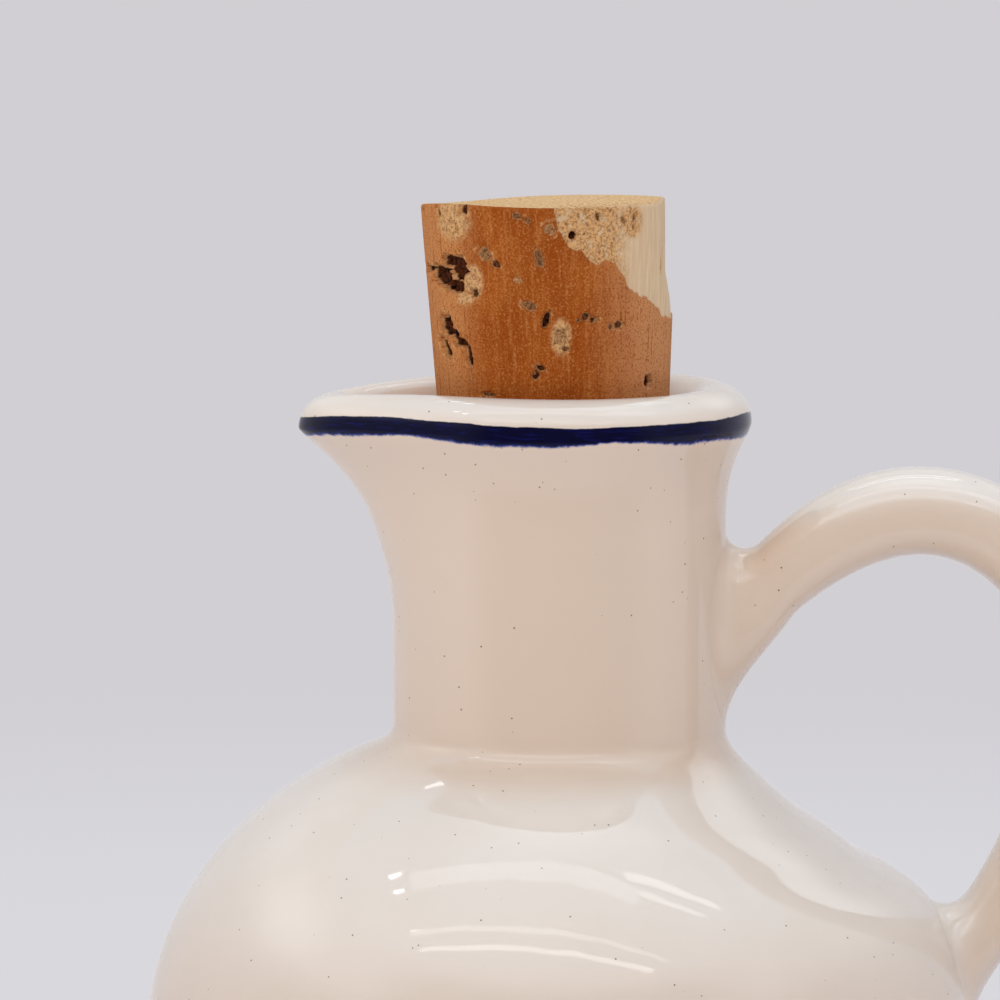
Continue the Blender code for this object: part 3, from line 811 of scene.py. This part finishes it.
def make_cork(collection, material):
    """The cork with its pores, crumbly fields and the patch where a piece broke off."""
    outline, top_count, bottom_count = cork_outline()
    top_radius = cork_radius(-CORK_PROUD)
    grid = turned_points(outline, CORK_COLUMNS)
    points = grid.reshape(-1, 3)
    rows = np.repeat(np.arange(len(outline)), CORK_COLUMNS)
    at_top = rows < top_count
    on_side = ~at_top & (rows < len(outline) - bottom_count)
    radius = radius_of(points)
    turn = np.degrees(azimuth_of(points)) + 90
    depth = -points[:, 2]

    recess, dark, rim_highlight = pore_shapes(turn, depth, points)
    patch = patch_field(turn, depth, points)
    crumbly = 1 - smooth_step(turn_gap(turn, CRUMBLY_TURN) / CRUMBLY_FADE + 0.5)
    crumbs = np.maximum(crumb_field(turn, depth), patch * crumbly * (turn < 180))
    crumble = 0.16 * noise_at(points, 0.5 * MM, 5) + 0.1 * noise_at(points, 0.28 * MM, 6)
    grain = noise_at(points * np.array([1, 1, 0.06]), 0.6 * MM, 7)
    recess += patch * PATCH_STEP + crumbs * (0.1 + crumble) * MM + 0.035 * MM * (grain + 0.6)
    proud = 1 - smooth_step((depth - CORK_PROUD) / HIDDEN_MARGIN)
    recess = np.maximum(recess, 0) * proud
    broken = break_recess(turn, depth, radius)
    recess = np.where(broken > 0, np.maximum(recess, broken + 0.35 * recess), recess)
    edge_share = np.clip(radius / (top_radius - CORK_EDGE), 0, 1) ** 8
    edge_recess = np.tile(recess[rows == top_count + 2], len(outline))
    moved_in = np.where(at_top, edge_recess * edge_share, np.where(on_side, recess, 0))
    scale = 1 - moved_in / radius
    shaped = points * np.stack([scale, scale, np.ones_like(scale)], 1)
    rough_top = noise_at(points, 1.1 * MM, 8) * 0.06 * MM + noise_at(points, 5 * MM, 9) * 0.09 * MM
    shaped[:, 2] -= np.where(at_top, np.abs(rough_top), 0)
    near_top = 1 - smooth_step(depth / TOP_RISE_FADE)
    shaped[:, 2] += top_rise(turn) * (radius / top_radius) ** 2 * near_top

    centres = (0, 0, 0), (0, 0, -CORK_LENGTH)
    cork = closed_grid("cork_natural", shaped.reshape(grid.shape), *centres, collection)
    seat = Matrix.Translation((-THROAT_OFFSET, 0, RIM_HEIGHT)) @ leaning()
    cork.data.transform(seat @ Matrix.Translation((0, 0, CORK_PROUD)))
    marks = {"pore": dark, "pore_rim_highlight": rim_highlight, "crumbs": crumbs, "patch": patch}
    for name, values in marks.items():
        set_attribute(cork, name, np.concatenate([values * on_side, [0, 0]]))
    set_attribute(cork, "sawn", np.concatenate([~on_side, [True, True]]))
    set_attribute(cork, "cork_place", np.concatenate([points, centres]))
    cork.data.materials.append(material)
    return cork


def leaning():
    """The cork's lean, about a point halfway down its seat."""
    pivot = Matrix.Translation((0, 0, -(SEAT_TOP + SEAT_BOTTOM) / 2))
    return pivot @ Matrix.Rotation(-CORK_LEAN, 4, "Y") @ pivot.inverted()


def linear(*display):
    """A colour written in display values from 0 to 255, as the linear colour of a shader."""
    values = np.array(display) / 255
    return (*np.where(values <= 0.04045, values / 12.92, ((values + 0.055) / 1.055) ** 2.4), 1)


class Nodes:
    """A node tree, with short calls for the nodes that it is built from."""

    def __init__(self, tree):
        self.tree = tree

    def put(self, socket, value):
        if isinstance(value, bpy.types.NodeSocket):
            self.tree.links.new(value, socket)
        else:
            socket.default_value = value

    def add(self, kind, inputs=None, **settings):
        """The outputs of a new node, whose inputs are given by name or number."""
        node = self.tree.nodes.new("ShaderNode" + kind)
        for name, value in settings.items():
            setattr(node, name, value)
        for socket, value in (inputs or {}).items():
            self.put(node.inputs[socket], value)
        return node.outputs

    def place(self, source, scale):
        """Coordinates stretched along each axis."""
        return self.add("VectorMath", {0: source, 1: scale}, operation="MULTIPLY")[0]

    def parts(self, vector):
        """The X, Y and Z of a vector."""
        return self.add("SeparateXYZ", {0: vector})

    def math(self, operation, first, second):
        return self.add("Math", {0: first, 1: second}, operation=operation)[0]

    def times(self, first, second):
        return self.math("MULTIPLY", first, second)

    def plus(self, first, second):
        return self.math("ADD", first, second)

    def ramp(self, value, low, high, start=0.0, stop=1.0):
        """A value from start to stop as another goes from low to high, smooth at both ends."""
        inputs = {"Value": value, "From Min": low, "From Max": high}
        inputs |= {"To Min": start, "To Max": stop}
        return self.add("MapRange", inputs, interpolation_type="SMOOTHSTEP")["Result"]

    def choose(self, share, first, second):
        """A shader mixed from two others."""
        return self.add("MixShader", {0: share, 1: first, 2: second})[0]


class Shader(Nodes):
    """A material and its node tree."""

    def __init__(self, name):
        self.material = bpy.data.materials.new(name)
        self.material.use_nodes = True
        super().__init__(self.material.node_tree)
        self.surface = self.tree.nodes["Principled BSDF"]

    def attribute(self, name, output="Fac"):
        return self.add("Attribute", attribute_name=name)[output]

    def object_place(self):
        return self.add("TexCoord")["Object"]

    def noise(self, place, size, detail=2, roughness=0.5):
        """Noise around 0.5 whose lumps are about as wide as the given size."""
        inputs = {"Vector": place, "Scale": 1 / size, "Detail": detail, "Roughness": roughness}
        return self.add("TexNoise", inputs)["Fac"]

    def dots(self, place, size):
        """Distance to scattered points, and a random value for each of them."""
        found = self.add("TexVoronoi", {"Vector": place, "Scale": 1 / size})
        return found["Distance"], found["Color"]

    def mix(self, share, first, second):
        """A colour mixed from two others."""
        return self.add("Mix", {0: share, 6: first, 7: second}, data_type="RGBA")[2]

    def bump(self, height, distance):
        inputs = {"Strength": 1, "Distance": distance, "Height": height}
        self.set("Normal", self.add("Bump", inputs)["Normal"])

    def set(self, name, value):
        self.put(self.surface.inputs[name], value)


CREAM = linear(224, 208, 193)
CREAM_PALE = linear(227, 212, 198)
CREAM_SHADED = linear(219, 194, 172)
NAVY = linear(11, 11, 38)
NAVY_BRIGHT = linear(18, 20, 74)
COBALT_BLEED = linear(44, 62, 140)
SPECK = linear(92, 68, 52)
SPECK_SPACING = 1.5 * MM
GLAZE_ROUGHNESS = 0.05
GLAZE_IOR = 1.6
GLAZE_GLOSS = 0.5
LINE_GLOSS = 0.12


def glaze_material(name, gloss):
    """Cream glaze with tiny specks, and the painted line where the vessel's marks say."""
    shader = Shader(name)
    mix, ramp, times = shader.mix, shader.ramp, shader.times
    place = shader.object_place()
    cloud = ramp(shader.noise(place, 18 * MM, 3), 0.35, 0.65)
    cream = mix(cloud, CREAM, CREAM_PALE)
    # Painted shade on steep and downward faces and at the foot of the neck
    cream = mix(shader.attribute("glaze_shade"), cream, CREAM_SHADED)

    distance, chance = shader.dots(place, SPECK_SPACING)
    specks = times(ramp(chance, 0.6, 0.64), ramp(distance, 0.05, 0.1, 0.9, 0))
    cream = mix(specks, cream, SPECK)

    turned = shader.attribute("turned_place", "Vector")
    line_place = shader.attribute("line_place")
    slow = shader.plus(shader.noise(turned, 6 * MM, 1), -0.5)
    ragged = shader.plus(shader.noise(turned, 1.1 * MM, 3, 0.65), -0.5)
    upper, lower = (
        shader.plus(shader.plus(line_place, times(slow, sway)), times(ragged, fray))
        for sway, fray in ((0.3, 0.16), (0.35, 0.6))
    )
    paint = times(ramp(upper, -1.06, -0.94), ramp(lower, 0.8, 1.12, 1, 0))
    strokes = shader.noise(shader.place(turned, (1, 1, 9)), 2.5 * MM, 3, 0.6)
    body = mix(ramp(strokes, 0.48, 0.74), NAVY, NAVY_BRIGHT)
    body = mix(ramp(lower, 0.62, 1.0), body, COBALT_BLEED)
    shader.set("Base Color", mix(paint, cream, body))

    shader.set("Roughness", GLAZE_ROUGHNESS)
    shader.set("IOR", GLAZE_IOR)
    shader.set("Specular IOR Level", gloss)
    shader.bump(shader.noise(place, 7 * MM, 2), 0.05 * MM)
    return shader.material


CLAY_PALE = linear(214, 190, 160)
CLAY_WARM = linear(198, 170, 138)
SAND = linear(168, 136, 104)


def clay_material():
    """Bare fired clay on the flat base, sandy and matt."""
    shader = Shader("bare_clay")
    place = shader.object_place()
    sand = shader.noise(place, 0.6 * MM, 4, 0.7)
    cloud = shader.ramp(shader.noise(place, 9 * MM, 2), 0.3, 0.7)
    clay = shader.mix(cloud, CLAY_PALE, CLAY_WARM)
    shader.set("Base Color", shader.mix(shader.ramp(sand, 0.55, 0.75), clay, SAND))
    shader.set("Roughness", 0.9)
    shader.bump(sand, 0.15 * MM)
    return shader.material


CORK_LIGHT = linear(188, 122, 66)
CORK_LIT_TAN = linear(204, 138, 84)
CORK_MIDDLE = linear(168, 90, 34)
CORK_DARK = linear(144, 66, 16)
CORK_LIT_PINK = linear(203, 144, 98)
CORK_PALE = linear(218, 188, 152)
CORK_BROKEN = linear(208, 174, 136)
CORK_SAWN = linear(222, 178, 126)
CORK_SAWN_PALE = linear(234, 200, 158)
CRUMB_LIGHT = linear(220, 168, 112)
CRUMB_MIDDLE = linear(178, 130, 86)
CRUMB_DARK = linear(112, 70, 40)
PORE_BROWN = linear(84, 42, 22)
PORE_SHADE_BLACK = linear(24, 12, 9)


def cork_material():
    """Natural cork: brown skin with fine upright lines, dark pores, crumbs and a pale break."""
    shader = Shader("natural_cork")
    mix, ramp, times = shader.mix, shader.ramp, shader.times
    place = shader.attribute("cork_place", "Vector")
    across, inward, _ = shader.parts(place)
    clouds = shader.noise(shader.place(place, (1, 1, 0.4)), 5 * MM, 4, 0.6)
    streaks = shader.noise(shader.place(place, (1, 1, 0.04)), 0.45 * MM, 3, 0.6)
    fine = shader.noise(place, 0.25 * MM, 3, 0.75)
    grain = shader.noise(place, 0.34 * MM, 4, 0.75)
    rings = shader.noise(shader.place(place, (1, 0.28, 1)), 0.42 * MM, 3, 0.7)

    def layers(colour, *added):
        """A colour under others, each where a value goes from low to high, up to its share."""
        for value, low, high, share, second in added:
            colour = mix(ramp(value, low, high, 0, share), colour, second)
        return colour

    skin = layers(CORK_DARK, (clouds, 0.38, 0.62, 1, CORK_MIDDLE))
    # Painted light and shade: darker down the middle, lit tan to the left, lit pink to the right
    middle_shade = times(ramp(across, -7 * MM, -4 * MM), ramp(across, 4 * MM, 1 * MM, 0, 0.5))
    skin = layers(
        mix(middle_shade, skin, CORK_DARK),
        (across, -7.5 * MM, -12.5 * MM, 0.85, CORK_LIT_TAN),
        (across, 3 * MM, 14 * MM, 0.9, CORK_LIT_PINK),
        (streaks, 0.48, 0.72, 0.45, CORK_LIGHT),
        (streaks, 0.46, 0.28, 0.7, CORK_DARK),
        (fine, 0.52, 0.64, 0.7, CORK_LIGHT),
        (fine, 0.49, 0.37, 0.9, CORK_DARK),
    )
    broken = layers(CORK_BROKEN, (streaks, 0.35, 0.7, 1, CORK_PALE))
    colour = mix(shader.attribute("patch"), skin, broken)

    sawn = layers(
        CORK_SAWN, (rings, 0.5, 0.66, 0.7, CRUMB_MIDDLE), (rings, 0.48, 0.38, 0.6, CORK_SAWN_PALE)
    )
    crumbly = times(ramp(across, -1 * MM, 3 * MM), ramp(rings, 0.5, 0.58))
    crumbly = times(crumbly, ramp(inward, -3 * MM, -11 * MM))
    sawn = mix(crumbly, sawn, CRUMB_MIDDLE)
    colour = mix(shader.attribute("sawn"), colour, sawn)

    speckle = layers(
        CRUMB_LIGHT, (grain, 0.42, 0.58, 1, CRUMB_MIDDLE), (grain, 0.57, 0.66, 1, CRUMB_DARK)
    )
    crumbs = shader.attribute("crumbs")
    lumps = ramp(shader.noise(place, 0.9 * MM, 3), 0.28, 0.46)
    colour = mix(times(crumbs, lumps), colour, speckle)

    pores = shader.attribute("pore")
    # Painted highlight in lumps round the pores' rims
    lit_lumps = ramp(shader.noise(place, 0.8 * MM, 2), 0.5, 0.62, 0, 0.75)
    rims = times(shader.attribute("pore_rim_highlight"), lit_lumps)
    colour = layers(mix(rims, colour, speckle), (pores, 0.1, 0.5, 0.85, speckle))
    # Deep in the pores: their own brown, with painted shade darkening it to black
    hollows = ramp(shader.noise(place, 0.55 * MM, 3), 0.36, 0.56)
    depths = mix(hollows, PORE_SHADE_BLACK, PORE_BROWN)
    deep = shader.math("SUBTRACT", pores, times(fine, 0.35))
    shader.set("Base Color", layers(colour, (deep, 0.15, 0.5, 1, depths)))

    shader.set("Roughness", 0.85)
    shader.set("Specular IOR Level", 0.04)
    height = shader.plus(times(grain, crumbs), times(fine, 0.5))
    shader.bump(shader.plus(height, times(streaks, 0.6)), 0.16 * MM)
    return shader.material


# Paper as it lights the pot and as the camera sees it, and the backdrop near the pot and far off
PAPER = linear(226, 224, 228)
PAPER_SEEN = linear(226, 217, 213)
BACKDROP_NEAR = linear(217, 216, 221)
BACKDROP_FAR = linear(209, 207, 211)
REFLECTED_WHITE = (1, 1, 1, 1)
REFLECTED_DARK = linear(72, 68, 66)
CEILING = (0.85, 0.98, 1.1, 1)
CEILING_STRENGTH = 1.13
# Shares of painted white and painted dark patches that reflections see in the walls at the object's
# height
WHITE_SIDES = 0.2
DARK_SIDES = 0.5
FLOOR_CENTRE = 0.2
FLOOR_RADIUS = 1.6
FLOOR_GAP = 0.2 * MM
WALL_RADIUS = 2.4
WALL_HEIGHT = 2.4
STUDIO_COLUMNS = 96
STUDIO_STEPS = (6, 24, 4)


def paper_material():
    """Pale paper: it takes the shadow near the object, and is evenly bright further out.

    The glaze reflects the floor and the back wall, which glows white for reflections only,
    and painted dark patches for a dark room in front and at the sides.
    """
    shader = Shader("studio_paper")
    mix, ramp, times = shader.mix, shader.ramp, shader.times
    shader.set("Roughness", 1.0)
    shader.set("Specular IOR Level", 0.0)
    ray = shader.add("LightPath")
    shader.set("Base Color", mix(ray["Is Camera Ray"], PAPER, PAPER_SEEN))
    place = shader.object_place()
    height = shader.parts(place)["Z"]
    away = shader.add("VectorMath", {0: place}, operation="LENGTH")["Value"]
    outward = shader.add("VectorMath", {0: shader.place(place, (1, 1, 0))}, operation="NORMALIZE")
    back = shader.parts(outward[0])["Y"]

    seen = mix(ramp(away, 0.33, 0.68), BACKDROP_NEAR, BACKDROP_FAR)
    sides = times(ramp(back, 0.5, -0.1), ramp(away, 1.1, 1.5))
    sides = times(sides, ramp(height, 1.6, 0.9, 0, DARK_SIDES))
    front = times(ramp(back, -0.35, -0.8), ramp(height, 2.4, 1.7))
    # Painted reflections: the walls glow white higher up and turn dark in front and at the sides
    reflected = mix(ramp(height, 0.7, 1.5, WHITE_SIDES, 1), seen, REFLECTED_WHITE)
    reflected = mix(shader.math("MAXIMUM", front, sides), reflected, REFLECTED_DARK)
    shown = mix(ray["Is Glossy Ray"], seen, reflected)
    glow = shader.add("Emission", {"Color": shown, "Strength": 1})[0]
    rays = shader.math("MAXIMUM", ray["Is Camera Ray"], ray["Is Glossy Ray"])
    rays = shader.math("MAXIMUM", rays, ray["Is Transmission Ray"])
    share = times(rays, ramp(away, 0.1, 0.28))
    mixed = shader.choose(share, shader.surface.outputs[0], glow)
    shader.put(shader.tree.nodes["Material Output"].inputs["Surface"], mixed)
    return shader.material


def make_studio(collection):
    """A pale floor that curves up into a wall all round, as one turned sheet."""
    bend = WALL_RADIUS - FLOOR_RADIUS
    floor_steps, bend_steps, wall_steps = STUDIO_STEPS
    curve = ellipse_arc((FLOOR_RADIUS, bend), (bend, bend), -math.pi / 2, 0, bend_steps)
    wall = line(curve[-1], (WALL_RADIUS, WALL_HEIGHT), wall_steps)
    floor = line((FLOOR_CENTRE, 0), curve[0], floor_steps)
    outline = chain(floor, curve, wall)
    points = turned_points(outline, STUDIO_COLUMNS, 0).reshape(-1, 3)
    faces = ring_faces(len(outline), STUDIO_COLUMNS) + fan_faces(0, STUDIO_COLUMNS, len(points))
    studio = mesh_object("studio_floor", [*points, (0, 0, 0)], faces, collection)
    studio.location.z = -FLOOR_GAP
    studio.data.materials.append(paper_material())


LAMP_AIM = Vector((0, 0, 90 * MM))
NEUTRAL = (1, 1, 1)
WARM = (1, 0.91, 0.73)
COOL = (0.94, 0.985, 1.03)


def soften(light):
    """The lamp's brightness falls off from its middle to its edges, as in a soft box."""
    nodes = Nodes(light.node_tree)
    place = nodes.place(nodes.add("NewGeometry")["Parametric"], (1, 1, 0))
    off_middle = nodes.add("VectorMath", {0: place, 1: (0.5, 0.5, 0)}, operation="DISTANCE")
    strength = nodes.ramp(off_middle["Value"], 0, 0.5, 1, 0)
    nodes.put(nodes.tree.nodes["Emission"].inputs["Strength"], strength)


def lamp(
    name, location, size, radiance, colour=NEUTRAL, diffuse=True, glossy=True, at=LAMP_AIM,
    soft=False,
):
    """A rectangular lamp of a given brightness, which can be kept to reflections or out of them."""
    data = bpy.data.lights.new(name, "AREA")
    data.shape = "RECTANGLE"
    data.size, data.size_y = size
    data.energy = radiance * math.pi * size[0] * size[1]
    data.color = colour
    if soft:
        data.use_nodes = True
        soften(data)
    light = bpy.data.objects.new(name, data)
    light.location = location
    light.rotation_euler = (at - light.location).to_track_quat("-Z", "Y").to_euler()
    light.visible_camera = False
    light.visible_diffuse = diffuse
    light.visible_glossy = glossy
    bpy.context.scene.collection.objects.link(light)
    return light


# Lamps under the ceiling, as the glaze shows them: where each starts and stops, its width and
# its brightness. Each fitting has two tubes, and a few places in the tubes glint.
TUBE_HEIGHT = 1.1
TUBES = {
    "tube_front": (
        ((-0.76, -0.42), (0.64, -0.76), 0.045, 1.5), ((-0.79, -0.6), (0.6, -0.94), 0.055, 2.7),
    ),
    "tube_middle": (
        ((-0.58, -0.01), (0.36, -0.2), 0.14, 1.0), ((0.3, -0.06), (0.7, 0.07), 0.06, 2.2),
        ((0.36, -0.15), (0.66, -0.11), 0.05, 2),
    ),
    "tube_back": (((-0.35, 0.68), (0.35, 0.66), 0.05, 4), ((-0.4, 0.9), (0.4, 0.86), 0.05, 3)),
    "glint": (
        ((-0.76, -0.41), (-0.71, -0.42), 0.04, 9), ((-0.79, -0.6), (-0.74, -0.61), 0.035, 9),
        ((-0.12, -0.58), (0.1, -0.63), 0.025, 10), ((-0.02, -0.79), (0.12, -0.83), 0.025, 10),
        ((0.46, -0.89), (0.6, -0.92), 0.03, 10),
        ((-0.68, 0.1), (-0.61, 0.1), 0.035, 8), ((-0.7, -0.04), (-0.64, -0.05), 0.035, 8),
    ),
}


def tube(name, start, stop, width, radiance):
    """A long narrow lamp under the ceiling that only reflections show."""
    start, stop = (Vector((*place, TUBE_HEIGHT)) for place in (start, stop))
    middle = (start + stop) / 2
    along = stop - start
    made = lamp(name, middle, (along.length, width), radiance, diffuse=False)
    made.rotation_euler = (0, 0, math.atan2(along.y, along.x))


# Lamps on the table that shine up: place, size, brightness and colour
TABLE_LAMP_HEIGHT = 0.01
TABLE_LAMPS = {
    "front_table": ((0, -0.6), (1.6, 0.8), 1.5, COOL),
    "left_table": ((-0.78, 0.1), (1, 1.4), 3.3, NEUTRAL),
    "right_table": ((0.78, 0.2), (1, 1.5), 2.9, COOL),
}
BACK_CEILING = (0.1, 0.45)
BACK_CEILING_HEIGHT = 1.7


def light_studio():
    """Soft light from above, from the sides and in front, and the tubes that the glaze reflects."""
    world = bpy.data.worlds.new("studio")
    world.use_nodes = True
    nodes = Nodes(world.node_tree)
    ceiling = nodes.tree.nodes["Background"]
    ceiling.inputs["Color"].default_value = CEILING
    ceiling.inputs["Strength"].default_value = CEILING_STRENGTH
    plain = nodes.add("Background", {"Color": BACKDROP_FAR})[0]
    choice = nodes.choose(nodes.add("LightPath")["Is Camera Ray"], ceiling.outputs[0], plain)
    nodes.put(nodes.tree.nodes["World Output"].inputs["Surface"], choice)
    bpy.context.scene.world = world

    lamp("front_fill", (-0.4, -1.9, 1), (1.4, 1.4), 1.7, WARM, glossy=False)
    for name, (place, size, radiance, colour) in TABLE_LAMPS.items():
        above = Vector((*place, 1))
        place = (*place, TABLE_LAMP_HEIGHT)
        lamp(name, place, size, radiance, colour, glossy=False, at=above, soft=True)
    lamp("left_high", (-1.4, 0.3, 1), (1.6, 0.8), 0.8, soft=True)
    lamp("back_right", (1, 1.3, 1.1), (1.3, 1), 0.46, COOL, soft=True)
    place, under = ((*BACK_CEILING, height) for height in (BACK_CEILING_HEIGHT, 0))
    lamp("back_ceiling", place, (1.8, 1.5), 1.1, at=Vector(under), soft=True)
    for name, tubes in TUBES.items():
        for start, stop, width, radiance in tubes:
            tube(name, start, stop, width, radiance)


def place_camera():
    """The camera, set so that the rim's centre falls where the photograph has it."""
    focal_pixels = CAMERA_DISTANCE / PIXEL_AT_AXIS
    camera = bpy.data.objects.new("camera", bpy.data.cameras.new("camera"))
    camera.data.sensor_width = SENSOR_WIDTH
    camera.data.lens = SENSOR_WIDTH * focal_pixels / IMAGE_SIZE
    rim = Vector((0, 0, RIM_HEIGHT))
    back = Vector((0, -math.cos(CAMERA_ELEVATION), math.sin(CAMERA_ELEVATION)))
    camera.location = rim + back * CAMERA_DISTANCE
    pitch = CAMERA_ELEVATION + math.atan((IMAGE_SIZE / 2 - RIM_PIXEL[1]) / focal_pixels)
    yaw = math.atan((RIM_PIXEL[0] - IMAGE_SIZE / 2) / focal_pixels)
    forward = Vector(
        (-math.sin(yaw) * math.cos(pitch), math.cos(yaw) * math.cos(pitch), -math.sin(pitch))
    )
    camera.rotation_euler = forward.to_track_quat("-Z", "Y").to_euler()
    bpy.context.scene.collection.objects.link(camera)
    bpy.context.scene.camera = camera


def main():
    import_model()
    bpy.context.scene.view_settings.view_transform = "Standard"
    looks = bpy.data.collections.new("looks")
    bpy.context.scene.collection.children.link(looks)
    place_camera()

    glaze = glaze_material("cream_glaze", GLAZE_GLOSS)
    painted_glaze = glaze_material("painted_glaze", LINE_GLOSS)
    vessel = make_vessel(looks, glaze, clay_material(), painted_glaze)
    handle = make_handle(looks, OuterSurface(), glaze)
    cork = make_cork(looks, cork_material())
    for piece, node, body, slot in (
        (vessel, "vessel", "carafe", "cream_glaze"),
        (handle, "handle", "carafe", "cream_glaze"),
        (cork, "cork_stopper", "stopper", "natural_cork"),
    ):
        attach(piece, body)
        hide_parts(node)

    make_studio(looks)
    light_studio()


main()
